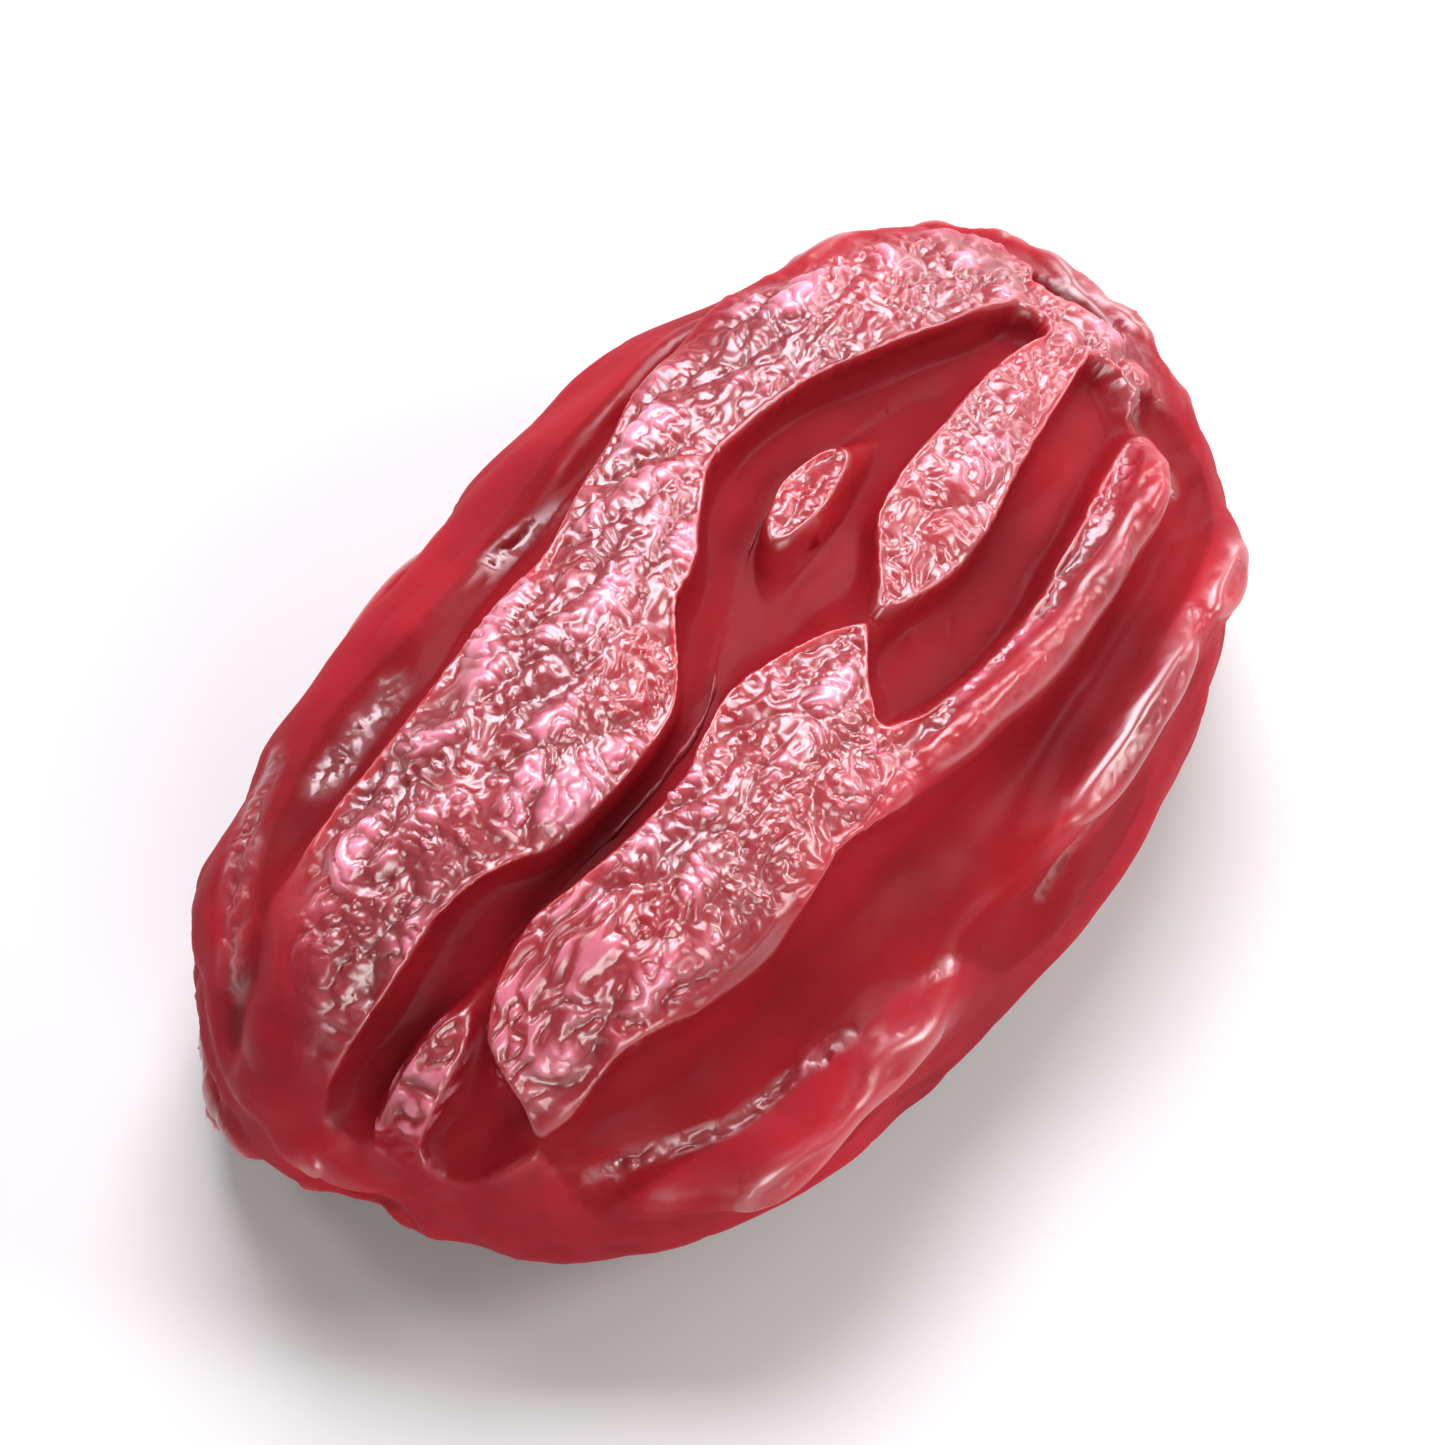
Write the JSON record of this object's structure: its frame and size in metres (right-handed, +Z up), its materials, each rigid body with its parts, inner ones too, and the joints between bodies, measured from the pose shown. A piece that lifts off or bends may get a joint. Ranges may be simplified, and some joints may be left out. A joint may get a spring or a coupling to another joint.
{
  "type": "dried cranberry",
  "caption": "One dried cranberry: a flattened, wrinkled oval berry with long folds, lying on its underside.",
  "frame": {"origin": "middle of the berry's box in plan, on the surface that it lies on", "axes": "+X along the berry from its pinched stem end to its blunt blossom end, +Y across it, +Z up"},
  "size_m": [0.0128, 0.0078, 0.0054],
  "materials": {
    "berry_skin": "deep crimson, sticky sheen over fine wrinkles"
  },
  "bodies": {
    "root": {"dried_berry": "berry_skin"}
  },
  "joints": []
}
